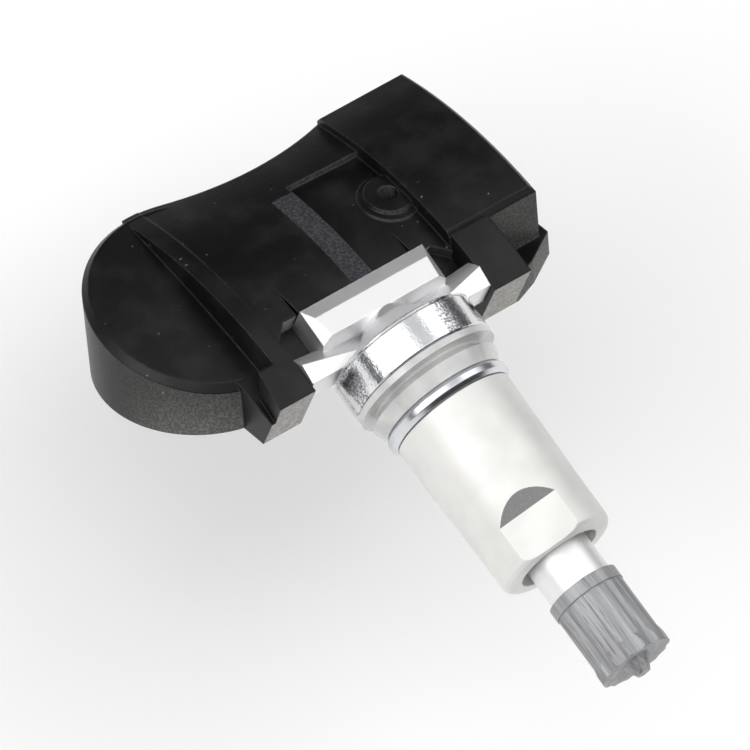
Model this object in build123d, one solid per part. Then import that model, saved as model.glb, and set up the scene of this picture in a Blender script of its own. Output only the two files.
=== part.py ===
from build123d import *
import math
import os

# Tyre pressure sensor with a clamp-in metal valve.
# Frame: the origin is on the valve axis, in the plane of the housing ears' front faces, which
# meet the inside of the rim. -Y runs along the valve to its tip, +X points to the raised box
# and +Z up from the housing. Valve sizes are given as (radius, station), where the station
# counts along the valve towards the tip. The housing is drawn level, with f counting forward
# and h upward, and is then tilted about X, because the valve leaves it pointing downwards.

# Housing, drawn level
tilt = 26.6
base_h = -6.0
arch_r = 50.0
arch_f = -23.0
arch_h = 7.15
wall = 1.2

lobe_x = -13.9
lobe_f = -18.9
lobe_r = 12.9
lobe_back_h = 6.6
lobe_front_h = 0.35
lobe_back_f = -31.0
lobe_front_f = -6.9
lobe_bulge = 0.52
lobe_rim = 0.8

deck_left_x = -14.7
deck_fall = 2.4
waist_turn = 18.8
pocket_left_x = 2.5
pocket_back_f = -24.0
pocket_depth = 0.7

box_left_x = 12.4
box_right_x = 24.6
box_front_f = -7.1
box_back_f = -31.4
box_edge = 0.6
flange_h = -2.7
flange_reach = 1.2
gusset_x = 21.4
gusset_f = -4.3
ear_foot_f = -2.8

ear_inner_x = 12.5
ear_outer_x = 17.7
ear_rear_f = -4.1
ear_taper = 0.9
ear_front_f = 3.0

boss_x = 10.9
boss_f = -16.3
boss_r = 2.8
boss_skirt_r = 3.6
boss_rise = 0.75
boss_skirt_rise = 0.25
port_r = 1.13
inner_boss_r = 2.2
inner_boss_h = 3.1

slit_x = 8.2
slit_back_f = -12.2
slit_width = 1.0
slit_depth = 2.4

recess_back = -8.9
recess_corner = 2.0
neck_relief_back = -4.9

# Base cover and what lies inside
cover_thick = 1.4
cover_ledge = 0.6
cover_gap = 0.1
board_thick = 0.8
board_h = -0.2
board_left_x = -8.0
board_right_x = 22.6
board_back_f = -27.6
board_front_f = -12.8
post_side = 1.6
post_inset = 2.2
battery_room = 3.7
battery_thick = 3.2
battery_left = 2.3
battery_rear = 2.7
tab_thick = 0.2
tab_width = 3.0
tab_reach = 6.0
tab_gap = 0.6
sensor_side = 5.0
sensor_thick = 1.9
seal_r = 2.1
chip_side = 6.0
chip_thick = 1.0
chip_x = 1.0
chip_f = -21.5
crystal_length = 3.2
crystal_width = 1.6
crystal_height = 0.8
crystal_x = -4.6
crystal_f = -19.0
capacitor_length = 1.6
capacitor_width = 0.8
capacitor_height = 0.7
capacitor_pitch = 1.9
capacitor_count = 5
capacitor_x = 6.2
capacitor_inset = 2.2
coil_x = 18.4
coil_f = -20.0
coil_length = 7.6
coil_side = 2.8
coil_flange = 1.0
coil_bar_side = 1.4
coil_slack = 0.05

# Valve stem
foot_back = -8.75
foot_front = -3.7
foot_half_x = 8.56
foot_ridge = -7.05
foot_brow = -4.3
foot_back_w = 1.7
foot_ridge_w = 2.4
foot_brow_w = 2.65
foot_toe_w = 0.3
foot_bottom_w = -2.3
foot_bevel_in = 1.1
foot_bevel_drop = 1.2
wing_half_x = 12.4
wing_back = -4.6
wing_front = -0.7
wing_back_w = 2.63
wing_front_w = 1.67
wing_tip_ridge = -3.1
wing_tip_ridge_w = 2.26
wing_root_x = 6.8
wing_root_ridge = -1.9
wing_root_ridge_w = 1.97
wing_low_x = 7.4
wing_low = -3.9
wing_low_w = -0.1
neck_r = 2.7
neck_start = -4.3
flare_r = 8.3
flare_end = -0.7
flare_power = 1.8
flare_steps = 4
collar_back = -0.3
collar_front = 4.15
collar_r = 8.95
collar_edge = 0.3
shank_r = 5.6
seat_front = 7.93
thread_r = 4.95
thread_end = 21.5
thread_lead = 0.6
tip_r = 3.87
tip_end = 43.4
tip_lead = 0.4
air_r = 1.25
air_end = -2.6
outlet_r = 1.0
outlet_station = -1.5
chamber_r = 2.0
chamber_end = 23.0
core_thread_r = 2.65
core_seat = 36.6
core_seat_rise = 0.9

# Grommet, washer and nut
grommet_flange_r = 8.9
grommet_flange_thick = 0.8
groove_r = 7.2
groove_width = 0.35
swell_r = 8.3
swell_station = 6.2
grommet_front_r = 7.6
grommet_slack = 0.05
washer_front = 9.65
washer_r = 7.9
washer_step_r = 7.4
washer_step = 0.5
washer_slack = 0.15
nut_rear_r = 7.4
nut_front_r = 7.1
nut_hub_r = 6.6
nut_gap = 0.15
nut_front = 30.0
nut_round = 1.0
nut_round_steps = 3
nut_bore_slack = 0.05
flat_across = 12.1
flat_back = 24.9
flat_turn = -22.6

# Cap
cap_back = 34.4
cap_end = 44.7
cap_r = 4.3
cap_skirt_r = 4.38
cap_skirt = 1.6
cap_groove = 0.12
cap_lip_r = 4.52
cap_lip = 1.0
cap_bore_slack = 0.05
cap_seal_end = 44.0
cap_seal_r = 3.1
flute_count = 14
flute_r = 1.6
flute_depth = 0.16
crown_recess_r = 3.3
crown_recess = 0.35
crown_boss_r = 1.8
crown_boss_tip_r = 0.85
crown_boss = 1.4

# Valve core
core_slack = 0.05
core_head_end = 42.9
core_head = 2.9
core_neck_r = 1.6
core_collar_r = 2.3
core_collar = 0.7
core_collar_station = 38.4
barrel_r = 1.75
barrel_bore_r = 1.15
barrel_end = 27.0
barrel_floor = 1.0
core_slot = 1.1
pin_r = 0.45
pin_hole_r = 0.6
pin_head_r = 0.75
pin_head = 0.5
pin_end = 43.1
pin_tail = 25.4
pin_collar_r = 1.0
pin_collar = 0.5
pin_collar_station = 35.0
spring_r = 0.78
spring_wire_r = 0.14
spring_turns = 6
spring_sides = 10
wire_sides = 5
poppet_r = 1.6
poppet_thick = 1.2
seat_seal_thick = 0.4
seat_seal_r = 1.45

# Height of the flat block that each level cut starts from, well above the housing
reach = 40.0


# Frames and small helpers

def tilted(shape):
    """Tilt a shape drawn in the level housing frame onto the valve axis."""
    return Rot(-tilt, 0, 0) * shape


def turned(points):
    """Revolve a closed outline of (radius, station) points about the valve axis."""
    outline = make_face(Polyline([(r, -s) for r, s in points], close=True))
    return revolve(outline, Axis.Y, 360)


def ring(inner_r, outer_r, start, end):
    """Return a plain ring on the valve axis between two stations."""
    return turned([(inner_r, start), (outer_r, start), (outer_r, end), (inner_r, end)])


def rod(radius, start, end):
    """Return a plain rod on the valve axis between two stations."""
    return ring(0, radius, start, end)


def plan(points):
    """Return a face on the level base plane from (x, f) points."""
    return make_face(Polyline([(x, -f) for x, f in points], close=True))


def plan_box(x_min, x_max, f_min, f_max, h_min, h_max):
    """Return a level block between two corners of the housing frame."""
    block = Box(x_max - x_min, f_max - f_min, h_max - h_min, align=(Align.MIN,) * 3)
    return Pos(x_min, -f_max, h_min) * block


def valve_box(x_half, start, end, w_min, w_max):
    """Return a block centred on the valve axis between two stations and heights."""
    block = Box(2 * x_half, end - start, w_max - w_min, align=(Align.CENTER, Align.MIN, Align.MIN))
    return Pos(0, -end, w_min) * block


def arch(drop):
    """Return the cylinder along X whose top is the housing's arch, lowered by drop."""
    drum = Cylinder(arch_r - drop, 4 * reach, rotation=(0, 90, 0))
    return Pos(0, -arch_f, arch_h - arch_r) * drum


def deck_arch(drop):
    """Return the arch of the deck, which falls slightly from its left edge to the box."""
    pivot = Pos(deck_left_x, 0, arch_h)
    return pivot * Rot(0, deck_fall, 0) * pivot.inverse() * arch(drop)


def lobe_height(f):
    """Return the height of the lobe's bulged roof at a forward place."""
    share = (f - lobe_back_f) / (lobe_front_f - lobe_back_f)
    straight = lobe_back_h + share * (lobe_front_h - lobe_back_h)
    return straight + 4 * lobe_bulge * share * (1 - share)


def under_lobe_roof(drop):
    """Return the space under the lobe's roof, lowered by drop."""
    stops = [lobe_f - lobe_r - 2 * wall, lobe_f, ear_front_f]
    back, middle, front = [(-f, lobe_height(f) - drop) for f in stops]
    sides = Polyline(front, (front[0], -reach), (back[0], -reach), back)
    section = Plane.YZ * make_face(sides + ThreePointArc(back, middle, front))
    return Pos(-reach, 0, 0) * extrude(section, 2 * reach, dir=(1, 0, 0))


# Housing

def body_plan(margin):
    """Return the plan of the lobe, waist and box, drawn in by a margin."""
    across, along = math.sin(math.radians(waist_turn)), math.cos(math.radians(waist_turn))
    edge_r = lobe_r - margin
    start = (lobe_x + edge_r * across, edge_r * along - lobe_f)
    end = (box_left_x, -box_back_f - margin)
    rest = Polyline(
        end,
        (box_right_x - margin, -box_back_f - margin),
        (box_right_x - margin, -box_front_f + margin),
        (lobe_x, -box_front_f + margin),
        (lobe_x, -lobe_f),
        start,
    )
    waist = TangentArc(start, end, tangent=(along, -across))
    return make_face(waist + rest) + Pos(lobe_x, -lobe_f) * Circle(edge_r)


def lobe():
    """Return the round left end, with its falling roof and bevelled rim."""
    drum = Pos(lobe_x, -lobe_f, base_h) * extrude(Circle(lobe_r), reach)
    solid = drum & under_lobe_roof(0)
    roof = solid.faces().sort_by(Axis.Z)[-1]
    return chamfer(roof.edges(), lobe_rim)


def deck():
    """Return the middle of the housing, with the shallow pocket beside the box."""
    block = Pos(0, 0, base_h) * extrude(body_plan(0), reach)
    front = plan_box(-ear_inner_x, box_left_x, box_front_f, ear_front_f, base_h, reach)
    middle = plan_box(-ear_inner_x, box_left_x, -reach, reach, base_h, reach)
    pocket = plan_box(pocket_left_x, box_left_x, pocket_back_f, reach, base_h, reach)
    floor = pocket & deck_arch(pocket_depth)
    return (((block + front) & middle & deck_arch(0)) - pocket) + floor


def raised_strip():
    """Return the high strip between the lobe and the deck, on the main arch."""
    block = Pos(0, 0, base_h) * extrude(body_plan(0), reach)
    front = plan_box(deck_left_x, -ear_inner_x, box_front_f, ear_front_f, base_h, reach)
    strip = plan_box(deck_left_x, -ear_inner_x, -reach, reach, base_h, reach)
    return (block + front) & strip & arch(0)


def box():
    """Return the raised box at the right, with bevelled top edges."""
    block = plan_box(box_left_x, box_right_x, box_back_f, box_front_f, base_h, reach)
    solid = block & arch(0)
    top = solid.faces().sort_by(Axis.Z)[-1]
    return chamfer(top.edges().sort_by(Axis.X)[1:], box_edge)


def flange():
    """Return the wider foot of the box and the gusset that runs on to the right ear."""
    right = box_right_x + flange_reach
    outline = [
        (box_left_x, box_back_f),
        (box_right_x, box_back_f),
        (right, box_back_f + flange_reach),
        (right, box_front_f),
        (gusset_x, gusset_f),
        (ear_outer_x, ear_foot_f),
        (box_left_x, ear_foot_f),
    ]
    return Pos(0, 0, base_h) * extrude(plan(outline), flange_h - base_h)


def ears():
    """Return the two ears that reach forward on either side of the valve's foot."""
    right = plan_box(ear_inner_x, ear_outer_x, box_front_f, ear_front_f, base_h, reach)
    low = plan_box(-ear_outer_x, -ear_inner_x, box_front_f, ear_front_f, base_h, reach)
    outline = [
        (-ear_inner_x, ear_rear_f),
        (-ear_outer_x + ear_taper, ear_rear_f),
        (-ear_outer_x, ear_front_f),
        (-ear_inner_x, ear_front_f),
    ]
    high = Pos(0, 0, base_h) * extrude(plan(outline), reach)
    return (right & arch(0)) + (low & under_lobe_roof(0)) + (high & arch(0))


def port_boss():
    """Return the stepped ring round the pressure port, inside and out."""
    top = Pos(boss_x, -boss_f, 0) * extrude(Circle(boss_r), reach)
    skirt = Pos(boss_x, -boss_f, 0) * extrude(Circle(boss_skirt_r), reach)
    inner = Pos(boss_x, -boss_f, inner_boss_h) * extrude(Circle(inner_boss_r), wall + pocket_depth)
    high = top & deck_arch(pocket_depth - boss_rise)
    low = skirt & deck_arch(pocket_depth - boss_skirt_rise)
    return (high + low) - deck_arch(pocket_depth + wall / 2) + inner


def port_hole():
    """Return the cutter of the pressure port."""
    return Pos(boss_x, -boss_f, inner_boss_h) * extrude(Circle(port_r), reach)


def slits():
    """Return the cutters of the two tapering slits beside the latch tongue."""
    half = slit_width / 2
    outline = [(-half / 2, slit_back_f), (half, ear_foot_f), (-half, ear_foot_f)]
    wedge = Pos(0, 0, -reach) * extrude(plan(outline), 2 * reach) - arch(slit_depth)
    return Pos(-slit_x, 0, 0) * wedge + Pos(slit_x, 0, 0) * wedge


def recess():
    """Return the cutter, in the valve's frame, that the metal foot drops into."""
    seat = valve_box(ear_inner_x, recess_back, reach, foot_bottom_w, reach)
    corners = seat.edges().filter_by(Axis.Z).group_by(Axis.Y)[-1]
    relief = valve_box(ear_inner_x, neck_relief_back, reach, -reach, reach)
    front = valve_box(reach, 0, reach, -reach, reach)
    return chamfer(corners, recess_corner) + relief + front


def cavity():
    """Return the hollow for the battery and board, clear of the recess by one wall."""
    space = Pos(0, 0, base_h) * extrude(body_plan(wall), reach)
    lobe_side = plan_box(-reach, -ear_inner_x - wall, -reach, reach, base_h, reach)
    middle = plan_box(-ear_inner_x - wall, box_left_x + wall, -reach, reach, base_h, reach)
    box_side = plan_box(box_left_x + wall, reach, -reach, reach, base_h, reach)
    roofs = (lobe_side & under_lobe_roof(wall)) + (box_side & arch(wall))
    roofs += middle & deck_arch(pocket_depth + wall) & arch(pocket_depth + wall)
    keep_out = valve_box(ear_inner_x + wall, recess_back - wall, reach, -reach, reach)
    return (tilted(space) & tilted(roofs)) - keep_out


def cover_plan(gap):
    """Return the base cover as a prism in the valve's frame, drawn in by a gap."""
    prism = Pos(0, 0, base_h) * extrude(body_plan(wall - cover_ledge + gap), cover_thick)
    ledge_station = recess_back - wall + cover_ledge - gap
    keep_out = valve_box(ear_inner_x + wall - cover_ledge + gap, ledge_station, reach, -reach, reach)
    return tilted(prism) - keep_out


def housing():
    """Return the hollow moulded housing."""
    level = lobe() + raised_strip() + deck() + box() + flange() + ears()
    level = level - slits()
    hollow = tilted(level) - recess() - cavity() - cover_plan(0)
    return hollow + tilted(port_boss() - box()) - tilted(port_hole())


def base_cover():
    """Return the lid in the base, with the posts that carry the board."""
    half = post_side / 2
    lid = cover_plan(cover_gap)
    for x in (board_left_x + post_inset, board_right_x - post_inset):
        for f in (board_back_f + post_inset, board_front_f - post_inset):
            lid += tilted(plan_box(x - half, x + half, f - half, f + half, base_h + cover_thick, board_h))
    return lid


# Electronics inside the housing

board_top_h = board_h + board_thick
tab_floor_h = base_h + cover_thick
battery_h = tab_floor_h + tab_thick
battery_r = lobe_r - wall - battery_room
battery_x = lobe_x - battery_left
battery_f = lobe_f - battery_rear


def on_board(size, x, f):
    """Return a block that stands on the board at a plan place."""
    align = (Align.CENTER, Align.CENTER, Align.MIN)
    return tilted(Pos(x, -f, board_top_h) * Box(*size, align=align))


def battery():
    """Return the coin cell that lies in the lobe."""
    coin = extrude(Circle(battery_r), battery_thick)
    return tilted(Pos(battery_x, -battery_f, battery_h) * coin)


def battery_tab(flat_h, f):
    """Return a bent strip from a face of the battery up to the board."""
    rise_x = battery_x + battery_r + tab_gap
    low, high = f - tab_width / 2, f + tab_width / 2
    foot = plan_box(rise_x - tab_reach, rise_x, low, high, flat_h, flat_h + tab_thick)
    riser = plan_box(rise_x, rise_x + tab_thick, low, high, flat_h, board_h)
    return tilted(foot + riser)


def circuit_board():
    """Return the board that carries the parts."""
    block = plan_box(board_left_x, board_right_x, board_back_f, board_front_f, board_h, board_top_h)
    return tilted(block)


def pressure_sensor():
    """Return the sensor under the port, with its own inlet hole."""
    block = on_board((sensor_side, sensor_side, sensor_thick), boss_x, boss_f)
    inlet = Pos(boss_x, -boss_f, board_top_h + sensor_thick / 2) * extrude(Circle(port_r / 2), reach)
    return block - tilted(inlet)


def port_seal():
    """Return the rubber ring between the sensor and the port's inner boss."""
    seat_h = board_top_h + sensor_thick
    washer = extrude(Circle(seal_r) - Circle(port_r), inner_boss_h - seat_h)
    return tilted(Pos(boss_x, -boss_f, seat_h) * washer)


def capacitors():
    """Return the row of equal capacitors."""
    size = (capacitor_length, capacitor_width, capacitor_height)
    first_f = board_back_f + capacitor_inset
    row = []
    for index in range(capacitor_count):
        row.append(on_board(size, capacitor_x, first_f + index * capacitor_pitch))
    return Compound(children=row)


def coil_core():
    """Return the square ferrite bobbin of the wake-up coil."""
    flange_block = (coil_side, coil_flange, coil_side)
    offset = (coil_length - coil_flange) / 2
    bar_h = board_top_h + (coil_side - coil_bar_side) / 2
    low, high = coil_f - offset, coil_f + offset
    half = coil_bar_side / 2
    bar = plan_box(coil_x - half, coil_x + half, low, high, bar_h, bar_h + coil_bar_side)
    return on_board(flange_block, coil_x, low) + on_board(flange_block, coil_x, high) + tilted(bar)


def coil_winding():
    """Return the winding as a square sleeve between the bobbin's flanges."""
    length = coil_length - 2 * coil_flange - 2 * coil_slack
    side = coil_side - 2 * coil_slack
    centre = Pos(coil_x, -coil_f, board_top_h + coil_side / 2)
    hole = coil_bar_side + 2 * coil_slack
    return tilted(centre * (Box(side, length, side) - Box(hole, length, hole)))


# Valve stem

def beam(section, half_x):
    """Extrude a (station, height) outline both ways from the valve axis."""
    face = Plane.YZ * make_face(Polyline([(-s, w) for s, w in section], close=True))
    return Pos(-half_x, 0, 0) * extrude(face, 2 * half_x, dir=(1, 0, 0))


def slanted(side, points):
    """Return the cutter on one side of the axis above a plane through (x, station, height) points."""
    first, second, third = [Vector(side * x, -s, w) for x, s, w in points]
    normal = (second - first).cross(third - first)
    upward = normal if normal.Z > 0 else -normal
    cutter = extrude(Plane(origin=first, z_dir=upward) * Rectangle(reach, reach), reach)
    half = valve_box(wing_half_x, foot_back, flare_end, -reach, reach)
    return cutter & Pos(side * wing_half_x, 0, 0) * half


def end_bevel(side):
    """Return the cutter that bevels the upper corner of the foot on one side."""
    points = [
        (foot_half_x, foot_back, foot_back_w),
        (foot_half_x - foot_bevel_in, foot_brow, foot_brow_w),
        (foot_half_x, foot_brow, foot_brow_w - foot_bevel_drop),
    ]
    return slanted(side, points)


def wing_valley(side):
    """Return the cutter of the sloping rear face of one wing."""
    points = [
        (wing_half_x, wing_tip_ridge, wing_tip_ridge_w),
        (wing_root_x, wing_root_ridge, wing_root_ridge_w),
        (wing_low_x, wing_low, wing_low_w),
    ]
    return slanted(side, points)


def foot():
    """Return the faceted bar that is clamped in the housing."""
    section = [
        (foot_back, foot_bottom_w),
        (foot_back, foot_back_w),
        (foot_ridge, foot_ridge_w),
        (foot_brow, foot_brow_w),
        (foot_front, foot_toe_w),
        (foot_front, foot_bottom_w),
    ]
    return beam(section, foot_half_x) - end_bevel(-1) - end_bevel(1)


def wings():
    """Return the cross bar whose ends lie between the ears."""
    section = [
        (wing_back, foot_bottom_w),
        (wing_back, wing_back_w),
        (wing_front, wing_front_w),
        (wing_front, foot_bottom_w),
    ]
    return beam(section, wing_half_x) - wing_valley(-1) - wing_valley(1)


def neck():
    """Return the flare that joins the foot to the collar."""
    outline = [(0, collar_back), (0, neck_start)]
    for index in range(flare_steps + 1):
        share = index / flare_steps
        radius = neck_r + (flare_r - neck_r) * share**flare_power
        outline.append((radius, neck_start + (flare_end - neck_start) * share))
    return turned(outline + [(collar_r, collar_back)])


def bore():
    """Return the cutter of the air way and of the valve core's chamber."""
    way = rod(air_r, air_end, chamber_end)
    wide = rod(chamber_r, chamber_end, core_seat)
    seat_top = core_seat + core_seat_rise
    cone = turned([(0, core_seat), (chamber_r, core_seat), (core_thread_r, seat_top), (0, seat_top)])
    thread = rod(core_thread_r, seat_top, tip_end)
    outlet = Pos(0, -outlet_station, -reach) * extrude(Circle(outlet_r), reach)
    return way + wide + cone + thread + outlet


def valve_stem():
    """Return the one-piece metal stem: foot, wings, neck, collar, shank and tip."""
    shaft = turned([
        (0, collar_back),
        (collar_r - collar_edge, collar_back),
        (collar_r, collar_back + collar_edge),
        (collar_r, collar_front - collar_edge),
        (collar_r - collar_edge, collar_front),
        (shank_r, collar_front),
        (shank_r, seat_front),
        (thread_r, seat_front),
        (thread_r, thread_end),
        (tip_r, thread_end + thread_lead),
        (tip_r, tip_end - tip_lead),
        (tip_r - tip_lead, tip_end),
        (0, tip_end),
    ])
    return foot() + wings() + neck() + shaft - bore()


# Grommet, washer, nut and cap

def seal_grommet():
    """Return the rubber seal that is squeezed into the valve hole."""
    inner = shank_r + grommet_slack
    flange_front = collar_front + grommet_flange_thick
    return turned([
        (inner, collar_front),
        (grommet_flange_r, collar_front),
        (grommet_flange_r, flange_front),
        (groove_r, flange_front),
        (groove_r, flange_front + groove_width),
        (swell_r, swell_station),
        (grommet_front_r, seat_front),
        (inner, seat_front),
    ])


def nut_washer():
    """Return the stepped washer that the nut presses on the grommet."""
    inner = thread_r + washer_slack
    return turned([
        (inner, seat_front),
        (washer_step_r, seat_front),
        (washer_r, seat_front + washer_step),
        (washer_r, washer_front - washer_step),
        (washer_step_r, washer_front),
        (inner, washer_front),
    ])


def nut():
    """Return the long smooth nut with two wrench flats at its front."""
    bore_r = thread_r + nut_bore_slack
    outline = [
        (bore_r, nut_front),
        (bore_r, washer_front),
        (nut_hub_r, washer_front),
        (nut_hub_r, washer_front + nut_gap),
        (nut_rear_r, washer_front + nut_gap),
        (nut_front_r, flat_back),
    ]
    for index in range(nut_round_steps + 1):
        turn = math.pi / 2 * index / nut_round_steps
        radius = nut_front_r - nut_round * (1 - math.cos(turn))
        outline.append((radius, nut_front - nut_round * (1 - math.sin(turn))))
    body = turned(outline)
    for turn in (flat_turn, flat_turn + 180):
        slab = valve_box(reach, flat_back, nut_front + nut_round, flat_across / 2, reach)
        body -= Rot(0, turn, 0) * slab
    return body


def cap_flutes():
    """Return the cutters of the shallow flutes and of the notches in the crown's lip."""
    start = cap_back + cap_skirt
    centre_r = cap_r - flute_depth + flute_r
    cutter = Pos(0, -start, 0) * extrude(Plane.XZ * Circle(flute_r), cap_end - start + wall)
    cutters = []
    for index in range(flute_count):
        turn = Rot(0, index * 360 / flute_count, 0)
        cutters.append(turn * Pos(centre_r, 0, 0) * cutter)
    return cutters


def cap():
    """Return the fluted cap with its scalloped crown and small end boss."""
    bore_r = tip_r + cap_bore_slack
    skirt_end = cap_back + cap_skirt
    body = turned([
        (bore_r, cap_back),
        (cap_skirt_r, cap_back),
        (cap_skirt_r, skirt_end - cap_groove),
        (cap_r - cap_groove, skirt_end - cap_groove),
        (cap_r - cap_groove, skirt_end),
        (cap_r, skirt_end),
        (cap_r, cap_end - 2 * cap_lip),
        (cap_lip_r, cap_end - cap_lip),
        (cap_lip_r, cap_end - cap_groove),
        (cap_lip_r - cap_groove, cap_end),
        (crown_recess_r, cap_end),
        (crown_boss_r, cap_end - crown_recess),
        (crown_boss_tip_r, cap_end + crown_boss),
        (0, cap_end + crown_boss),
        (0, cap_seal_end),
        (bore_r, cap_seal_end),
    ])
    return body - cap_flutes()


def cap_seal():
    """Return the rubber disc in the cap that closes the stem's tip."""
    return rod(cap_seal_r, tip_end, cap_seal_end)


# Valve core

def core_body():
    """Return the core's slotted head, neck and barrel."""
    head_start = core_head_end - core_head
    collar_end = core_collar_station + core_collar
    outside = turned([
        (0, barrel_end),
        (barrel_r, barrel_end),
        (barrel_r, core_collar_station),
        (core_collar_r, core_collar_station),
        (core_collar_r, collar_end),
        (core_neck_r, collar_end),
        (core_neck_r, head_start),
        (core_thread_r - core_slack, head_start),
        (core_thread_r - core_slack, core_head_end),
        (0, core_head_end),
    ])
    inside = rod(barrel_bore_r, barrel_end + barrel_floor, core_collar_station)
    pin_way = rod(pin_hole_r, barrel_end, core_collar_station) + rod(
        pin_head_r + core_slack, core_collar_station, core_head_end
    )
    slot_width = core_thread_r - core_slot
    blocks = []
    for side in (-1, 1):
        block = valve_box(core_slot, head_start, core_head_end, -reach, reach)
        blocks.append(Pos(side * (slot_width + core_slot), 0, 0) * block)
    return outside - inside - pin_way - blocks


def core_gasket():
    """Return the tapered ring that seals the core on its seat."""
    inner = barrel_r + core_slack
    seat_top = core_seat + core_seat_rise
    return turned([
        (inner, core_seat),
        (chamber_r - core_slack, core_seat),
        (core_thread_r - core_slack, seat_top),
        (core_thread_r - core_slack, core_collar_station),
        (inner, core_collar_station),
    ])


def core_pin():
    """Return the pin with its button and spring collar."""
    stem = rod(pin_r, pin_tail, pin_end)
    button = rod(pin_head_r, pin_end - pin_head, pin_end)
    collar = rod(pin_collar_r, pin_collar_station, pin_collar_station + pin_collar)
    return stem + button + collar


def core_spring():
    """Return the wire spring between the barrel's floor and the pin's collar."""
    start = barrel_end + barrel_floor + spring_wire_r
    length = pin_collar_station - spring_wire_r - start
    count = spring_turns * spring_sides
    points = []
    for index in range(count + 1):
        turn = 2 * math.pi * index / spring_sides
        x, z = spring_r * math.cos(turn), spring_r * math.sin(turn)
        points.append((x, -start - length * index / count, z))
    path = Polyline(points)
    section = Plane(origin=path @ 0, z_dir=path % 0) * RegularPolygon(spring_wire_r, wire_sides)
    return sweep(section, path=path, transition=Transition.RIGHT)


def core_poppet():
    """Return the cup on the pin's tail that closes the barrel."""
    front = barrel_end - seat_seal_thick
    return ring(pin_r, poppet_r, front - poppet_thick, front)


def core_seat_seal():
    """Return the rubber ring between the cup and the barrel."""
    return ring(pin_hole_r, seat_seal_r, barrel_end - seat_seal_thick, barrel_end)


# Writing the pieces

pieces = {
    "housing": housing(),
    "base_cover": base_cover(),
    "battery": battery(),
    "battery_tab_positive": battery_tab(battery_h + battery_thick, battery_f + tab_width),
    "battery_tab_negative": battery_tab(tab_floor_h, battery_f - tab_width),
    "circuit_board": circuit_board(),
    "pressure_sensor": pressure_sensor(),
    "port_seal": port_seal(),
    "controller_chip": on_board((chip_side, chip_side, chip_thick), chip_x, chip_f),
    "crystal": on_board((crystal_length, crystal_width, crystal_height), crystal_x, crystal_f),
    "capacitors": capacitors(),
    "coil_core": coil_core(),
    "coil_winding": coil_winding(),
    "valve_stem": valve_stem(),
    "seal_grommet": seal_grommet(),
    "nut_washer": nut_washer(),
    "nut": nut(),
    "cap": cap(),
    "cap_seal": cap_seal(),
    "core_body": core_body(),
    "core_gasket": core_gasket(),
    "core_pin": core_pin(),
    "core_spring": core_spring(),
    "core_poppet": core_poppet(),
    "core_seat_seal": core_seat_seal(),
}

os.makedirs("parts", exist_ok=True)
for name, piece in pieces.items():
    export_step(piece, os.path.join("parts", name + ".step"))
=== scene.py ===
import logging
import math
from dataclasses import dataclass, field
from enum import Enum

import bpy
from mathutils import Matrix, Vector


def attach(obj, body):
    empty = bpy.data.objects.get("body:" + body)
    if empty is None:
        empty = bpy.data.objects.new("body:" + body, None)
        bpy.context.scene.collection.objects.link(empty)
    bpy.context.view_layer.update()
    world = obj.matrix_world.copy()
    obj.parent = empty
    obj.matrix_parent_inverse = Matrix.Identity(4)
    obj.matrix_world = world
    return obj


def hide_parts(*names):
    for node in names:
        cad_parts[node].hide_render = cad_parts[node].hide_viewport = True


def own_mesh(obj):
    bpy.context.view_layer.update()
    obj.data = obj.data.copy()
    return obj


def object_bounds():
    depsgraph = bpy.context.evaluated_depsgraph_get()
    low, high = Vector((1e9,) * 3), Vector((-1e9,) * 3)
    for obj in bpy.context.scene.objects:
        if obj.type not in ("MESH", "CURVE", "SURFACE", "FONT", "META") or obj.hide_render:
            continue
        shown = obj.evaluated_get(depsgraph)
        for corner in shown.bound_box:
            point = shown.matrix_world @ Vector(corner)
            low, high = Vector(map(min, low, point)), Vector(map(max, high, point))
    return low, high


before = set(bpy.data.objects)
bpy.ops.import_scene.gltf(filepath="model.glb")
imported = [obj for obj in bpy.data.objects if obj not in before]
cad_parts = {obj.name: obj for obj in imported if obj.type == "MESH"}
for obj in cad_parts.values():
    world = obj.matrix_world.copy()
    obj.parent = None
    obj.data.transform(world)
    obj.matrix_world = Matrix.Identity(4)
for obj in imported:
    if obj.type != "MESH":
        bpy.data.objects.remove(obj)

log = logging.getLogger("tyre_pressure_sensor")

MM = 0.001
HOUSING_TILT = math.radians(26.6)
START_BOUNDS = [list(corner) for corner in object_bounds()]

Colour = tuple[float, float, float]
Triple = tuple[float, float, float]
Range = tuple[float, float]


class Body(str, Enum):
    """The bodies that the new pieces ride on."""

    SENSOR = "sensor"
    NUT = "nut"


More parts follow.
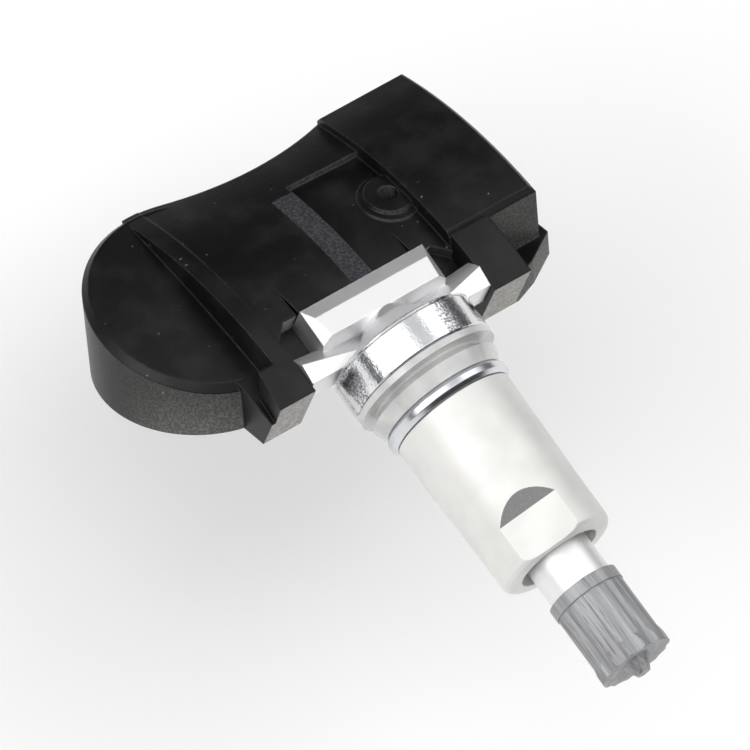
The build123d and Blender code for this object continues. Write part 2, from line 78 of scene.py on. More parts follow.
class Signal:
    """An output socket on which Python arithmetic adds Math nodes."""

    def __init__(self, graph: "Graph", socket: bpy.types.NodeSocket) -> None:
        """Keep the socket and the graph it belongs to.

        Args:
            graph: The material graph that owns the socket.
            socket: The output socket to calculate with.
        """
        self.graph = graph
        self.socket = socket

    def maths(self, operation: str, *operands: "Signal | float") -> "Signal":
        """Add one Math node.

        Args:
            operation: Blender's name of the operation.
            *operands: The values of its inputs, in order.

        Returns:
            The node's result.
        """
        inputs = dict(enumerate(operands))
        return self.graph.node("ShaderNodeMath", {"operation": operation}, inputs)

    def __add__(self, other: "Signal | float") -> "Signal":
        """Return the sum."""
        return self.maths("ADD", self, other)

    def __radd__(self, other: float) -> "Signal":
        """Return the sum, with the number first."""
        return self.maths("ADD", other, self)

    def __sub__(self, other: "Signal | float") -> "Signal":
        """Return the difference."""
        return self.maths("SUBTRACT", self, other)

    def __rsub__(self, other: float) -> "Signal":
        """Return the difference, with the number first."""
        return self.maths("SUBTRACT", other, self)

    def __mul__(self, other: "Signal | float") -> "Signal":
        """Return the product."""
        return self.maths("MULTIPLY", self, other)

    def __rmul__(self, other: float) -> "Signal":
        """Return the product, with the number first."""
        return self.maths("MULTIPLY", other, self)

    def __gt__(self, other: "Signal | float") -> "Signal":
        """Return one where this is the greater, else zero."""
        return self.maths("GREATER_THAN", self, other)

    def __lt__(self, other: "Signal | float") -> "Signal":
        """Return one where this is the smaller, else zero."""
        return self.maths("LESS_THAN", self, other)

    def __abs__(self) -> "Signal":
        """Return the value without its sign."""
        return self.maths("ABSOLUTE", self)

    def band(self, low: float, high: float) -> "Signal":
        """Return one between two limits, else zero."""
        return (self > low) * (self < high)

    def ramp(self, low: float, high: float) -> "Signal":
        """Rise smoothly from zero to one between two limits.

        Args:
            low: The value at which the result is zero.
            high: The value at which the result is one.

        Returns:
            The smoothed share.
        """
        settings = {"interpolation_type": "SMOOTHSTEP"}
        return self.graph.node("ShaderNodeMapRange", settings, {"Value": self, 1: low, 2: high})


class Graph:
    """A tree of shader nodes."""

    def __init__(self, tree: bpy.types.NodeTree) -> None:
        """Work on a tree.

        Args:
            tree: The node tree of a material or of the world.
        """
        self.tree = tree

    def node(self, kind: str, settings: dict, inputs: dict, output: int | str = 0) -> Signal:
        """Add a node, set it up and connect its inputs.

        Args:
            kind: Blender's type of the node.
            settings: Its settings, by Blender's names.
            inputs: The value or signal of each input socket, by name or index.
            output: The name or index of the output to return.

        Returns:
            The chosen output.
        """
        item = self.tree.nodes.new(kind)
        for key, value in settings.items():
            setattr(item, key, value)
        for key, value in inputs.items():
            if isinstance(value, Signal):
                self.tree.links.new(value.socket, item.inputs[key])
            else:
                item.inputs[key].default_value = value
        return Signal(self, item.outputs[output])

    def mix(
        self, share: Signal | float, first: Signal | Colour, second: Signal | Colour
    ) -> Signal:
        """Blend two colours.

        Args:
            share: How much of the second colour there is.
            first: The colour at zero.
            second: The colour at one.

        Returns:
            The blended colour.
        """
        inputs = {0: share}
        for index, colour in ((6, first), (7, second)):
            inputs[index] = colour if isinstance(colour, Signal) else (*colour, 1.0)
        return self.node("ShaderNodeMix", {"data_type": "RGBA"}, inputs, 2)

    def axes(self, vector: Signal) -> tuple[Signal, Signal, Signal]:
        """Split a vector into its three parts.

        Args:
            vector: The vector to split.

        Returns:
            Its X, Y and Z.
        """
        first = self.node("ShaderNodeSeparateXYZ", {}, {"Vector": vector})
        outputs = first.socket.node.outputs
        return first, Signal(self, outputs[1]), Signal(self, outputs[2])

    def dot(self, first: Signal, second: Signal | Triple) -> Signal:
        """Return the dot product of two vectors."""
        inputs = {0: first, 1: second}
        return self.node("ShaderNodeVectorMath", {"operation": "DOT_PRODUCT"}, inputs, "Value")

    def facing(self) -> Signal:
        """Return the face's own normal, before any rounding or bump."""
        return self.node("ShaderNodeNewGeometry", {}, {}, "True Normal")


class Surface(Graph):
    """The node graph of one material, with its Principled shader."""

    bevel_samples = 6
    edge_rise = (0.02, 0.25)

    def __init__(self, name: str) -> None:
        """Start a material with an empty graph.

        Args:
            name: The name of the material.
        """
        self.material = bpy.data.materials.new(name)
        self.material.use_nodes = True
        super().__init__(self.material.node_tree)
        self.shader = self.tree.nodes["Principled BSDF"]

    def place(self, turn: float = 0.0, scale: Triple = (1.0, 1.0, 1.0)) -> Signal:
        """Return the place on the object in millimetres.

        Args:
            turn: An angle about X that the place is turned by.
            scale: A stretch of the pattern along each axis.

        Returns:
            The place as a vector.
        """
        coordinates = self.node("ShaderNodeTexCoord", {}, {}, "Object")
        inputs = {"Vector": coordinates, "Rotation": (turn, 0, 0)}
        turned = self.node("ShaderNodeMapping", {}, inputs)
        size = tuple(share / MM for share in scale)
        return self.node("ShaderNodeMapping", {}, {"Vector": turned, "Scale": size})

    def noise(self, vector: Signal, scale: float, detail: float = 2.0) -> Signal:
        """Return a noise of a given number of spots per millimetre."""
        inputs = {"Vector": vector, "Scale": scale, "Detail": detail}
        return self.node("ShaderNodeTexNoise", {}, inputs)

    def edges(self, width: float) -> tuple[Signal, Signal]:
        """Find the solid's edges.

        Args:
            width: How far from an edge it is seen, in millimetres.

        Returns:
            The rounded normal, and one at an edge falling to zero away from it.
        """
        settings = {"samples": self.bevel_samples}
        rounded = self.node("ShaderNodeBevel", settings, {"Radius": width * MM})
        return rounded, (1.0 - self.dot(rounded, self.facing())).ramp(*self.edge_rise)

    def bump(self, height: Signal, depth: float, base: Signal | None = None) -> Signal:
        """Return a normal that follows a height.

        Args:
            height: The height, from zero to one.
            depth: What one stands for, in millimetres.
            base: The normal under it, where that isn't the surface's own.

        Returns:
            The normal.
        """
        inputs = {"Strength": 1.0, "Distance": depth * MM, "Height": height}
        if base:
            inputs["Normal"] = base
        return self.node("ShaderNodeBump", {}, inputs)

    def set(self, **sockets: Signal | float | Colour) -> bpy.types.Material:
        """Set the shader's sockets.

        Args:
            **sockets: Values or signals by socket name, with underscores for spaces.

        Returns:
            The finished material.
        """
        for key, value in sockets.items():
            socket = self.shader.inputs[key.replace("_", " ").title().replace("Ior", "IOR")]
            if isinstance(value, Signal):
                self.tree.links.new(value.socket, socket)
            elif isinstance(value, tuple):
                socket.default_value = (*value, 1.0)
            else:
                socket.default_value = value
        return self.material


@dataclass(frozen=True)
class MouldedShell:
    """Black glass-filled plastic: fine grain, a cloudy painted sheen, edges painted pale as a
    painted highlight, and specks of dust.
    """

    name: str = "moulded_shell"
    colour: Colour = (0.0025, 0.0025, 0.0032)
    painted_sheen: Colour = (0.010, 0.010, 0.0105)
    strip_colour: Colour = (0.052, 0.050, 0.060)
    strip_x: Range = (-0.45, 2.45)
    strip_y: Range = (8.1, 22.9)
    wall_reflection_colour: Colour = (0.165, 0.165, 0.153)
    wall_bounce_z: Range = (-9.0, 1.0)
    ear_reflection_colour: Colour = (0.52, 0.50, 0.465)
    up: Triple = (0.0, 0.448, 0.894)
    front: Triple = (0.0, -0.894, 0.448)
    ear_front: Triple = (0.0, -1.0, 0.0)
    edge_highlight_colour: Colour = (0.050, 0.050, 0.053)
    edge_width: float = 0.35
    dust_colour: Colour = (0.20, 0.20, 0.20)
    dust_share: float = 0.7
    cloud_scale: float = 0.20
    cloud_rise: Range = (0.42, 0.72)
    scuff_scale: float = 0.9
    scuff_rise: Range = (0.45, 0.75)
    speck_scale: float = 3.4
    speck_rise: Range = (0.42, 0.62)
    dust_scale: float = 1.6
    dust_rise: Range = (0.735, 0.76)
    dusty_scale: float = 0.35
    dusty_rise: Range = (0.45, 0.6)
    level_rise: Range = (0.25, 0.55)
    front_rise: Range = (-0.1, 0.75)
    ear_rise: Range = (0.95, 0.99)
    roughness: float = 0.27
    gloss: float = 0.25
    grain_scale: float = 2.6
    grain_depth: float = 0.018

    def make(self) -> bpy.types.Material:
        """Build the material in the housing's level frame.

        Returns:
            The plastic, with its grainy strip, its front walls painted paler as a painted
            reflection and its ear fronts painted pale as a painted reflection.
        """
        graph = Surface(self.name)
        place = graph.place(turn=HOUSING_TILT)
        x, y, z = graph.axes(place)
        grain = graph.noise(place, self.grain_scale, 3.0)
        cloud = graph.noise(place, self.cloud_scale, 3.0)
        scuff = graph.noise(place, self.scuff_scale, 4.0).ramp(*self.scuff_rise)
        rounded, edge = graph.edges(self.edge_width)
        strip = x.band(*self.strip_x) * y.band(*self.strip_y) * (z > 0)
        speck = graph.noise(place, self.speck_scale, 4.0).ramp(*self.speck_rise)
        dusty = graph.noise(place, self.dusty_scale, 1.0).ramp(*self.dusty_rise)
        dust = graph.noise(place, self.dust_scale, 2.0).ramp(*self.dust_rise) * dusty
        facing = graph.facing()
        level = abs(graph.dot(facing, self.up)).ramp(*self.level_rise)
        # Faces turned to the front are painted paler, as a painted reflection of the floor.
        wall_reflection = (1.0 - level) * graph.dot(facing, self.front).ramp(*self.front_rise)
        # The painted wall reflection grows towards the bottom, as painted bounce light from the
        # floor.
        wall_reflection = wall_reflection * (1.0 - 0.6 * z.ramp(*self.wall_bounce_z))
        # The ear fronts are painted pale, as a painted reflection of the floor at a grazing angle.
        ear_reflection = graph.dot(facing, self.ear_front).ramp(*self.ear_rise)
        # The cloudy pale patches on the black plastic are a painted sheen.
        base = graph.mix(cloud.ramp(*self.cloud_rise), self.colour, self.painted_sheen)
        base = graph.mix(wall_reflection * (0.5 + 0.5 * speck), base, self.wall_reflection_colour)
        base = graph.mix(ear_reflection * (0.45 + 0.35 * speck + 0.2 * scuff), base, self.ear_reflection_colour)
        base = graph.mix(strip * (0.35 + 0.65 * speck), base, self.strip_colour)
        # Edges are painted paler, as a painted highlight.
        base = graph.mix(edge * (0.35 + 0.65 * scuff), base, self.edge_highlight_colour)
        coarse = 0.14 * cloud + 0.08 * grain + 0.18 * strip + 0.08 * wall_reflection
        return graph.set(
            base_color=graph.mix(self.dust_share * dust, base, self.dust_colour),
            roughness=self.roughness + coarse,
            normal=graph.bump(grain, self.grain_depth, rounded),
            specular_ior_level=self.gloss,
        )


@dataclass(frozen=True)
class TurnedMetal:
    """Metal turned on a lathe, with fine rings round the valve axis and brushed edges."""

    name: str
    colour: Colour
    shade: Colour
    roughness: float
    ring_pitch: float = 0.12
    ring_depth: float = 0.004
    grain_scale: float = 7.0
    grain_depth: float = 0.002
    edge_width: float = 0.22
    metallic: float = 1.0
    cloud_scale: float = 0.22
    cloud_rise: Range = (0.3, 0.7)

    def tone(self, graph: Surface, place: Signal) -> Signal:
        """Return the metal's cloudy colour."""
        cloud = graph.noise(place, self.cloud_scale, 2.0).ramp(*self.cloud_rise)
        return graph.mix(cloud, self.colour, self.shade)

    def make(self) -> bpy.types.Material:
        """Build the material.

        Returns:
            The finished material.
        """
        graph = Surface(self.name)
        place = graph.place()
        rings = graph.noise(graph.place(scale=(0.02, 1.0, 0.02)), 1 / self.ring_pitch, 2.0)
        grain = graph.noise(place, self.grain_scale, 2.0)
        cloud = graph.noise(place, self.cloud_scale, 2.0)
        rounded, edge = graph.edges(self.edge_width)
        height = rings + (self.grain_depth / self.ring_depth) * grain
        return graph.set(
            base_color=self.tone(graph, place),
            metallic=self.metallic,
            roughness=(
                self.roughness + 0.08 * (rings - 0.5) + 0.06 * (cloud - 0.5) - 0.08 * edge
            ),
            normal=graph.bump(height, self.ring_depth, rounded),
        )


@dataclass(frozen=True)
class MilledMetal(TurnedMetal):
    """Turned metal with the sloping run-out face behind each wrench flat painted darker as painted
    shade, grained by cutter marks.
    """

    run_out_shade: Colour = (0.20, 0.20, 0.21)
    run_out_shade_y: Range = (-25.1, -22.6)
    run_out_shade_slope: float = -0.3
    cutter_marks: float = 4.0

    def tone(self, graph: Surface, place: Signal) -> Signal:
        """Paint shade onto the run-out faces in the metal's colour.

        Args:
            graph: The material's graph.
            place: The place on the object, in millimetres.

        Returns:
            The colour.
        """
        base = super().tone(graph, place)
        sloping = graph.axes(graph.facing())[1] < self.run_out_shade_slope
        run_out_shade = graph.axes(place)[1].band(*self.run_out_shade_y) * sloping
        marks = graph.noise(place, self.cutter_marks, 3.0)
        # The darker run-out faces are painted shade; the cutter marks add grain.
        return graph.mix(run_out_shade * (0.75 + 0.25 * marks), base, self.run_out_shade)


@dataclass(frozen=True)
class PlatedMetal:
    """The stem's plating: satin on the forged foot, bright on the collar, with dark speckled
    streaks along the collar that are a painted reflection.
    """

    name: str = "plated_stem"
    colour: Colour = (0.76, 0.76, 0.77)
    shade: Colour = (0.66, 0.67, 0.69)
    reflection_speck: Colour = (0.13, 0.13, 0.15)
    foot: Colour = (0.85, 0.85, 0.855)
    collar_y: Range = (-4.3, 0.6)
    foot_roughness: float = 0.48
    collar_roughness: float = 0.13
    cloud_scale: float = 0.25
    cloud_rise: Range = (0.35, 0.7)
    pebble_scale: float = 2.4
    fine_scale: float = 6.5
    pebble_depth: float = 0.03
    foot_pebble_share: float = 0.07
    reflection_streak_stretch: Triple = (1.0, 0.12, 1.0)
    reflection_streak_scale: float = 0.30
    reflection_streak_rise: Range = (0.53, 0.60)
    reflection_speck_scale: float = 3.6
    reflection_speck_rise: Range = (0.44, 0.56)
    reflection_share: float = 0.75
    edge_width: float = 0.2

    def make(self) -> bpy.types.Material:
        """Build the material.

        Returns:
            The finished material.
        """
        graph = Surface(self.name)
        place = graph.place()
        collar = graph.axes(place)[1].band(*self.collar_y)
        pebble = graph.noise(place, self.pebble_scale, 3.0)
        fine = graph.noise(place, self.fine_scale, 2.0)
        cloud = graph.noise(place, self.cloud_scale, 2.0)
        rounded, edge = graph.edges(self.edge_width)
        reflection_streak = graph.noise(graph.place(scale=self.reflection_streak_stretch), self.reflection_streak_scale, 1.0)
        reflection_speck = graph.noise(place, self.reflection_speck_scale, 3.0).ramp(*self.reflection_speck_rise)
        # The dark speckled streaks along the collar are a painted reflection.
        reflection_specks = collar * reflection_streak.ramp(*self.reflection_streak_rise) * reflection_speck
        tone = graph.mix(cloud.ramp(*self.cloud_rise), self.colour, self.shade)
        tone = graph.mix(collar, self.foot, tone)
        rough = self.foot_roughness + (self.collar_roughness - self.foot_roughness) * collar
        pebbled = self.foot_pebble_share + (1.0 - self.foot_pebble_share) * collar
        return graph.set(
            base_color=graph.mix(self.reflection_share * reflection_specks, tone, self.reflection_speck),
            metallic=1.0,
            roughness=rough + 0.08 * (cloud - 0.5) + 0.12 * reflection_specks - 0.05 * edge,
            normal=graph.bump(pebbled * (pebble + 0.3 * fine), self.pebble_depth, rounded),
        )


@dataclass(frozen=True)
class StreakedMetal:
    """Satin silver-grey skin of the cap, streaked along the valve by its moulding."""

    name: str = "cap_skin"
    colour: Colour = (0.36, 0.365, 0.375)
    dark: Colour = (0.26, 0.26, 0.265)
    line: Colour = (0.07, 0.07, 0.07)
    bright: Colour = (0.60, 0.60, 0.60)
    stretch: Triple = (1.0, 0.05, 1.0)
    streak_scale: float = 1.5
    streak_rise: Range = (0.36, 0.60)
    streak_depth: float = 0.012
    fine_scale: float = 5.0
    fine_rise: Range = (0.5, 0.8)
    line_rise: Range = (0.32, 0.42)
    grain_scale: float = 3.5
    metallic: float = 0.45
    roughness: float = 0.44
    edge_width: float = 0.18

    def make(self) -> bpy.types.Material:
        """Build the material.

        Returns:
            The finished material.
        """
        graph = Surface(self.name)
        along = graph.place(scale=self.stretch)
        streak = graph.noise(along, self.streak_scale, 4.0)
        fine = graph.noise(along, self.fine_scale, 2.0)
        grain = graph.noise(graph.place(), self.grain_scale, 3.0)
        rounded, edge = graph.edges(self.edge_width)
        tone = graph.mix(streak.ramp(*self.streak_rise), self.dark, self.colour)
        tone = graph.mix(0.3 * fine.ramp(*self.fine_rise), tone, self.bright)
        tone = graph.mix(0.5 * (1.0 - fine.ramp(*self.line_rise)), tone, self.line)
        return graph.set(
            # The cap's edges are painted pale, as a painted highlight.
            base_color=graph.mix(0.6 * edge, tone, self.bright),
            metallic=self.metallic,
            roughness=self.roughness + 0.14 * (grain - 0.5) + 0.08 * streak,
            normal=graph.bump(streak + 0.4 * fine, self.streak_depth, rounded),
        )


@dataclass(frozen=True)
class MouldedPart:
    """Plain plastic, rubber or ceramic with a soft mottle and a fine grain."""

    name: str
    colour: Colour
    shade: Colour
    roughness: float
    grain_scale: float = 3.0
    grain_depth: float = 0.01
    coat: float = 0.0
    cloud_scale: float = 0.35
    cloud_rise: Range = (0.3, 0.7)

    def make(self) -> bpy.types.Material:
        """Build the material.

        Returns:
            The finished material.
        """
        graph = Surface(self.name)
        place = graph.place()
        grain = graph.noise(place, self.grain_scale, 3.0)
        cloud = graph.noise(place, self.cloud_scale, 3.0).ramp(*self.cloud_rise)
        return graph.set(
            base_color=graph.mix(cloud, self.colour, self.shade),
            roughness=self.roughness + 0.12 * (grain - 0.5),
            normal=graph.bump(grain, self.grain_depth),
            coat_weight=self.coat,
        )


@dataclass(frozen=True)
class BoardMask:
    """Green solder mask over copper tracks."""

    name: str = "solder_mask"
    colour: Colour = (0.012, 0.10, 0.035)
    track: Colour = (0.03, 0.20, 0.07)
    pitch: float = 1.3
    track_rise: Range = (0.30, 0.42)
    track_depth: float = 0.02

    def make(self) -> bpy.types.Material:
        """Build the material.

        Returns:
            The finished material.
        """
        graph = Surface(self.name)
        place = graph.place(turn=HOUSING_TILT)
        settings = {"distance": "CHEBYCHEV", "feature": "F1"}
        inputs = {"Vector": place, "Scale": 1 / self.pitch}
        tracks = graph.node("ShaderNodeTexVoronoi", settings, inputs).ramp(*self.track_rise)
        return graph.set(
            base_color=graph.mix(tracks, self.colour, self.track),
            roughness=0.28 + 0.1 * tracks,
            normal=graph.bump(tracks, self.track_depth),
        )


@dataclass(frozen=True)
class WoundWire:
    """Enamelled copper wire laid in turns across the coil, painted darker in the valleys between
    turns as painted shade.
    """

    name: str = "wound_wire"
    bright: Colour = (0.75, 0.33, 0.13)
    valley_shade: Colour = (0.30, 0.11, 0.04)
    wire: float = 0.16
    wire_depth: float = 0.05

    def make(self) -> bpy.types.Material:
        """Build the material.

        Returns:
            The finished material.
        """
        graph = Surface(self.name)
        place = graph.place(turn=HOUSING_TILT)
        settings = {"wave_type": "BANDS", "bands_direction": "Y", "wave_profile": "SIN"}
        inputs = {"Vector": place, "Scale": 0.32 / self.wire}
        turns = graph.node("ShaderNodeTexWave", settings, inputs)
        return graph.set(
            # The valleys between turns are painted darker, as painted shade.
            base_color=graph.mix(turns, self.valley_shade, self.bright),
            metallic=0.85,
            roughness=0.42 - 0.1 * turns,
            normal=graph.bump(turns, self.wire_depth),
        )


Finish = (
    MouldedShell | TurnedMetal | PlatedMetal | StreakedMetal | MouldedPart | BoardMask | WoundWire
)


class Assembly:
    """Base of the sub-assemblies, with the steps of modelling that they share."""

    merge_gap = 0.001
    flat_fold = 0.4
    sliver = 0.004

    def dress(self, finish: Finish, *nodes: str) -> bpy.types.Material:
        """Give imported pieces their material.

        Args:
            finish: The finish that they share.
            *nodes: The names of the pieces.

        Returns:
            The material, for new pieces that share it too.
        """
        material = finish.make()
        for node in nodes:
            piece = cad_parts[node]
            piece.data.materials.clear()
            piece.data.materials.append(material)
            log.info("%s wears %s", node, material.name)
        return material

    def select(self, piece: bpy.types.Object) -> None:
        """Select one object alone and make it active.

        Args:
            piece: The object.
        """
        bpy.ops.object.select_all(action="DESELECT")
        piece.select_set(True)
        bpy.context.view_layer.objects.active = piece

    def edit(self) -> None:
        """Enter edit mode on the active piece, with all of it selected."""
        bpy.ops.object.mode_set(mode="EDIT")
        bpy.ops.mesh.select_all(action="SELECT")

    def merged_copy(self, node: str, name: str) -> bpy.types.Object:
        """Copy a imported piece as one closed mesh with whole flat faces.

        Args:
            node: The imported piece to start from.
            name: The name of the copy.

        Returns:
            The copy, selected and active.
        """
        piece = bpy.data.objects.new(name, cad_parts[node].data.copy())
        bpy.context.scene.collection.objects.link(piece)
        piece.data.materials.clear()
        self.select(piece)
        bpy.ops.mesh.customdata_custom_splitnormals_clear()
        self.edit()
        bpy.ops.mesh.remove_doubles(threshold=self.merge_gap * MM)
        bpy.ops.mesh.dissolve_limited(angle_limit=math.radians(self.flat_fold))
        bpy.ops.object.mode_set(mode="OBJECT")
        return piece

    def apply(self, piece: bpy.types.Object, kind: str, **settings: object) -> None:
        """Add a modifier to a piece and apply it.

        Args:
            piece: The piece to change.
            kind: Blender's type of the modifier.
            **settings: The modifier's settings.
        """
        self.select(piece)
        modifier = piece.modifiers.new(kind.lower(), kind)
        for key, value in settings.items():
            setattr(modifier, key, value)
        bpy.ops.object.modifier_apply(modifier=modifier.name)

    def heal(self, piece: bpy.types.Object) -> None:
        """Merge the doubles and slivers that a cut leaves on a piece.

        Args:
            piece: The piece that was cut.
        """
        self.select(piece)
        self.edit()
        bpy.ops.mesh.remove_doubles(threshold=self.sliver * MM)
        bpy.ops.mesh.dissolve_degenerate(threshold=self.sliver * MM)
        bpy.ops.mesh.normals_make_consistent(inside=False)
        bpy.ops.object.mode_set(mode="OBJECT")

    def settle(
        self, piece: bpy.types.Object, body: Body, slot: str, material: bpy.types.Material,
        smooth_angle: float = 32.0,
    ) -> None:
        """Finish a new piece: shade it, dress it and let it ride on its body.

        Args:
            piece: The new piece, in its place.
            body: The body it moves with.
            slot: Not used.
            material: The finish.
            smooth_angle: The sharpest fold, in degrees, that is shaded as a curve.
        """
        self.select(piece)
        bpy.ops.object.transform_apply(location=True, rotation=True, scale=True)
        bpy.ops.object.shade_smooth_by_angle(angle=math.radians(smooth_angle))
        piece.data.materials.append(material)
        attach(piece, body.value)
        log.info("%s rides on %s and wears %s", piece.name, body.value, material.name)


@dataclass
class Helix(Assembly):
    """A right-handed helix round the valve axis, swept from a small outline."""

    name: str
    radius: float
    start: float
    end: float
    pitch: float
    section_r: float
    section_sides: int
    along: float = 1.0
    steps: int = 64

    def build(self) -> bpy.types.Object:
        """Model the helix.

        Returns:
            The closed helix, in its place but not yet dressed.
        """
        bpy.ops.object.select_all(action="DESELECT")
        bpy.ops.mesh.primitive_circle_add(
            vertices=self.section_sides, radius=self.section_r * MM, location=(0, 0, 0)
        )
        piece = bpy.context.object
        piece.name = self.name
        self.edit()
        bpy.ops.transform.resize(value=(self.along, 1, 1))
        bpy.ops.transform.rotate(value=math.pi / 2, orient_axis="Z", center_override=(0, 0, 0))
        bpy.ops.transform.translate(value=(-self.radius * MM, -self.start * MM, 0))
        bpy.ops.object.mode_set(mode="OBJECT")
        turns = (self.end - self.start) / self.pitch
        steps = round(self.steps * turns)
        rise = (self.start - self.end) * MM
        self.apply(
            piece, "SCREW", axis="Y", angle=-2 * math.pi * turns, screw_offset=rise,
            steps=steps, render_steps=steps, iterations=1,
        )
        self.edit()
        bpy.ops.mesh.fill_holes(sides=0)
        bpy.ops.mesh.normals_make_consistent(inside=False)
        bpy.ops.object.mode_set(mode="OBJECT")
        return piece


@dataclass
class SensorHousing(Assembly):
    """The moulded housing, its base cover and the parts sealed inside."""

    shell: MouldedShell = field(default_factory=MouldedShell)
    board: BoardMask = field(default_factory=BoardMask)
    wire: WoundWire = field(default_factory=WoundWire)
    cell: TurnedMetal = TurnedMetal("cell_steel", (0.62, 0.62, 0.63), (0.5, 0.5, 0.52), 0.25)
    chip: MouldedPart = MouldedPart("chip_case", (0.018, 0.018, 0.018), (0.03, 0.03, 0.03), 0.5)
    ceramic: MouldedPart = MouldedPart("fired_ceramic", (0.42, 0.27, 0.15), (0.5, 0.34, 0.2), 0.45)
    ferrite: MouldedPart = MouldedPart(
        "ferrite", (0.045, 0.045, 0.05), (0.07, 0.07, 0.075), 0.6, 5.0, 0.02
    )
    rubber: MouldedPart = MouldedPart("inner_rubber", (0.02, 0.02, 0.02), (0.03, 0.03, 0.03), 0.7)

    def build(self) -> None:
        """Dress the housing and everything in it."""
        steel_nodes = (
            "battery", "battery_tab_positive", "battery_tab_negative", "pressure_sensor", "crystal"
        )
        self.dress(self.shell, "housing", "base_cover")
        self.dress(self.cell, *steel_nodes)
        self.dress(self.board, "circuit_board")
        self.dress(self.chip, "controller_chip")
        self.dress(self.ceramic, "capacitors")
        self.dress(self.ferrite, "coil_core")
        self.dress(self.wire, "coil_winding")
        self.dress(self.rubber, "port_seal")


@dataclass
class Valve(Assembly):
    """The metal stem with its grommet, washer, nut and cap, and the core inside."""

    flat_turn: float = -22.6
    flat_start: float = 24.9
    flat_height: float = 6.05
    run_out: float = 2.1
    run_out_rise: float = 1.12
    nut_smooth_angle: float = 26.0
    cutter_width: float = 20.0
    cutter_depth: float = 4.0
    plated: PlatedMetal = field(default_factory=PlatedMetal)
    satin: MilledMetal = MilledMetal(
        "satin_nut", (0.79, 0.785, 0.765), (0.73, 0.726, 0.707), 0.54, metallic=0.5
    )
    bright: TurnedMetal = TurnedMetal(
        "bright_washer", (0.72, 0.73, 0.75), (0.60, 0.61, 0.64), 0.22
    )
    grommet: MouldedPart = MouldedPart(
        "grommet_rubber", (0.60, 0.60, 0.59), (0.48, 0.48, 0.48), 0.22, coat=0.8
    )
    cap_skin: StreakedMetal = field(default_factory=StreakedMetal)
    brass: TurnedMetal = TurnedMetal("turned_brass", (0.80, 0.60, 0.28), (0.68, 0.48, 0.20), 0.28)
    steel: TurnedMetal = TurnedMetal("drawn_steel", (0.62, 0.62, 0.63), (0.5, 0.5, 0.52), 0.30)
    rubber: MouldedPart = MouldedPart("core_rubber", (0.02, 0.02, 0.02), (0.035, 0.03, 0.03), 0.6)
    nut_thread: Helix = field(default_factory=lambda: Helix(
        "shank_thread", 4.925, 8.3, 21.2, 1.0, 0.055, 3, along=4.2
    ))
    tip_thread: Helix = field(default_factory=lambda: Helix(
        "tip_thread", 3.85, 34.9, 42.8, 25.4 / 32, 0.05, 3, along=3.6
    ))
    spring: Helix = field(default_factory=lambda: Helix(
        "wound_spring", 0.78, 28.14, 34.86, 6.72 / 6, 0.13, 12
    ))

    def run_out_cutter(self, turn: float) -> bpy.types.Object:
        """Model the block whose lower face is the sloping run-out behind a wrench flat.

        Args:
            turn: The flat's angle round the valve axis, in degrees.

        Returns:
            The block, in its place.
        """
        bpy.ops.object.select_all(action="DESELECT")
        bpy.ops.mesh.primitive_cube_add(size=1, location=(0, 0, 0))
        cutter = bpy.context.object
        depth = self.cutter_depth * MM
        self.edit()
        bpy.ops.transform.resize(value=(self.cutter_width * MM, depth, depth))
        bpy.ops.transform.translate(value=(0, depth / 2, depth / 2))
        bpy.ops.object.mode_set(mode="OBJECT")
        slope = math.atan2(self.run_out_rise, self.run_out)
        lift = Matrix.Translation((0, -self.flat_start * MM, self.flat_height * MM))
        turned = Matrix.Rotation(math.radians(turn), 4, "Y")
        cutter.matrix_world = turned @ lift @ Matrix.Rotation(slope, 4, "X")
        self.select(cutter)
        bpy.ops.object.transform_apply(location=True, rotation=True, scale=True)
        return cutter

    def nut(self) -> None:
        """Model the nut with the sloping run-out behind each wrench flat."""
        nut = self.merged_copy("nut", "nut_body")
        for turn in (self.flat_turn, self.flat_turn + 180):
            cutter = self.run_out_cutter(turn)
            self.apply(nut, "BOOLEAN", object=cutter, operation="DIFFERENCE", solver="EXACT")
            bpy.data.objects.remove(cutter)
        self.heal(nut)
        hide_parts("nut")
        self.settle(nut, Body.NUT, "nut_metal", self.satin.make(), self.nut_smooth_angle)

    def core_spring(self) -> None:
        """Model the valve core's spring, which in the real valve shortens as the pin is pushed in.
        """
        coil = self.spring.build()
        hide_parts("core_spring")
        self.settle(coil, Body.SENSOR, "spring_steel", self.steel.make())
        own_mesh(coil)

    def build(self) -> None:
        """Dress the pieces along the valve and model its nut, threads and spring."""
        plated = self.dress(self.plated, "valve_stem")
        for thread in (self.nut_thread, self.tip_thread):
            self.settle(thread.build(), Body.SENSOR, "stem_metal", plated)
        self.dress(self.grommet, "seal_grommet")
        self.dress(self.bright, "nut_washer")
        self.nut()
        self.dress(self.cap_skin, "cap")
        self.dress(self.brass, "core_body", "core_pin", "core_poppet")
        self.core_spring()
        self.dress(self.rubber, "cap_seal", "core_gasket", "core_seat_seal")


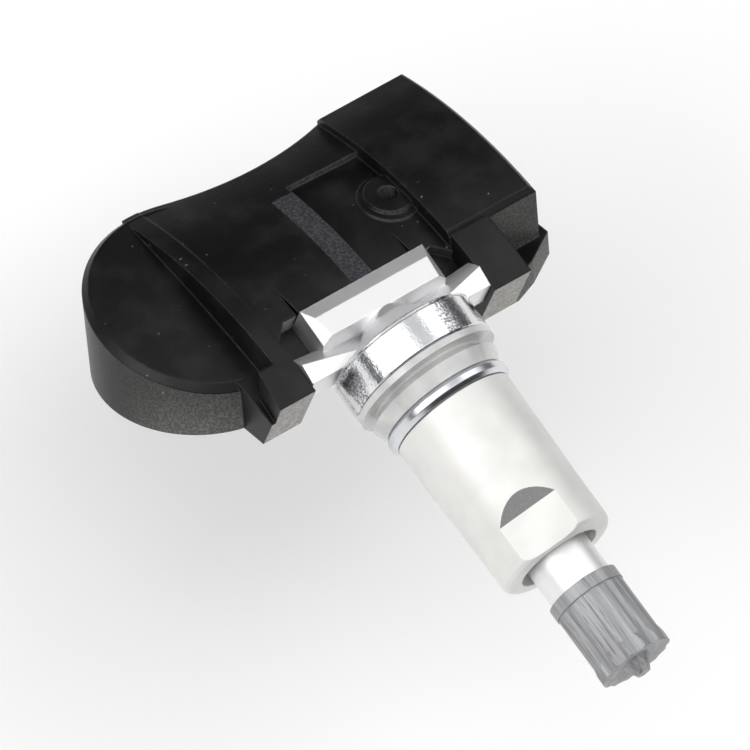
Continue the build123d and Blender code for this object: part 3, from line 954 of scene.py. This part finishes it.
@dataclass
class Studio:
    """The pale floor, the soft lights and the camera at the photograph's angle."""

    picture: int = 750
    pixels_per_mm: float = 9.03
    origin_pixel: tuple[float, float] = (403.0, 346.2)
    image_right: Triple = (0.792, -0.5732, 0.2117)
    image_up: Triple = (0.444, 0.7775, 0.4457)
    distance: float = 1.2
    sensor_width: float = 36.0
    clip: Range = (0.05, 20.0)
    floor_gap: float = 0.03
    floor_size: float = 6.0
    floor_colour: Colour = (0.95, 0.95, 0.95)
    floor_roughness: float = 0.9
    sky_zenith: float = 1.82
    sky_horizon: float = 0.14
    sky_rise: Range = (0.30, 0.72)
    wall_rise: Range = (0.42, 0.62)
    back_share: float = 0.88
    front_share: float = 0.80
    dark_spot: Triple = (0.10, 0.26, 0.96)
    dark_spot_edge: Range = (0.955, 0.985)
    dark_spot_share: float = 0.55
    key_place: Triple = (-0.9, 0.05, 0.55)
    key_size: float = 0.6
    key_power: float = 3.0

    def camera(self) -> None:
        """Place the camera so that the origin falls on its pixel of the photograph."""
        right = Vector(self.image_right).normalized()
        up = Vector(self.image_up)
        up = (up - right * up.dot(right)).normalized()
        toward = right.cross(up)
        middle = self.picture / 2
        across = (middle - self.origin_pixel[0]) / self.pixels_per_mm * MM
        down = (middle - self.origin_pixel[1]) / self.pixels_per_mm * MM
        aim = right * across - up * down
        data = bpy.data.cameras.new("photo_camera")
        data.sensor_width = self.sensor_width
        data.lens = self.sensor_width * self.distance / (self.picture / self.pixels_per_mm * MM)
        data.clip_start, data.clip_end = self.clip
        camera = bpy.data.objects.new("photo_camera", data)
        bpy.context.scene.collection.objects.link(camera)
        basis = Matrix((right, up, toward)).transposed().to_4x4()
        camera.matrix_world = Matrix.Translation(aim + toward * self.distance) @ basis
        bpy.context.scene.camera = camera

    def floor(self) -> None:
        """Add the pale floor under the sensor."""
        low = START_BOUNDS[0][2] - self.floor_gap
        bpy.ops.object.select_all(action="DESELECT")
        bpy.ops.mesh.primitive_plane_add(size=self.floor_size, location=(0, 0, low))
        floor = bpy.context.object
        floor.name = "studio_floor"
        graph = Surface("studio_floor")
        matte = graph.set(base_color=self.floor_colour, roughness=self.floor_roughness)
        floor.data.materials.append(matte)

    def key_light(self) -> None:
        """Add one soft square light at the side, facing the sensor."""
        data = bpy.data.lights.new("key", "AREA")
        data.size = self.key_size
        data.energy = self.key_power
        lamp = bpy.data.objects.new("key", data)
        lamp.location = self.key_place
        lamp.rotation_euler = Vector(self.key_place).to_track_quat("Z", "Y").to_euler()
        bpy.context.scene.collection.objects.link(lamp)

    def sky(self) -> None:
        """Light the scene by a soft white strip overhead, dimmer at the horizon and the lens."""
        world = bpy.data.worlds.new("studio_sky")
        world.use_nodes = True
        graph = Graph(world.node_tree)
        direction = graph.node("ShaderNodeTexCoord", {}, {}, "Generated")
        _, back, height = graph.axes(direction)
        spot = graph.dot(direction, self.dark_spot).ramp(*self.dark_spot_edge)
        rise = (self.sky_zenith - self.sky_horizon) * height.ramp(*self.sky_rise)
        dome = self.sky_horizon + rise
        walls = self.back_share * back.ramp(*self.wall_rise)
        walls = walls + self.front_share * (-1.0 * back).ramp(*self.wall_rise)
        strength = dome * (1.0 - self.dark_spot_share * spot) * (1.0 - walls)
        background = world.node_tree.nodes["Background"]
        background.inputs["Color"].default_value = (1.0, 1.0, 1.0, 1.0)
        world.node_tree.links.new(strength.socket, background.inputs["Strength"])
        bpy.context.scene.world = world

    def build(self) -> None:
        """Set up the whole studio."""
        self.camera()
        self.floor()
        self.sky()
        self.key_light()
        bpy.context.scene.view_settings.view_transform = "Standard"


def main() -> None:
    """Build the dressed sensor and its studio in order."""
    logging.basicConfig(level=logging.INFO)
    for part in (Studio(), SensorHousing(), Valve()):
        part.build()
        log.info("%s is built", type(part).__name__)


if __name__ == "__main__":
    main()
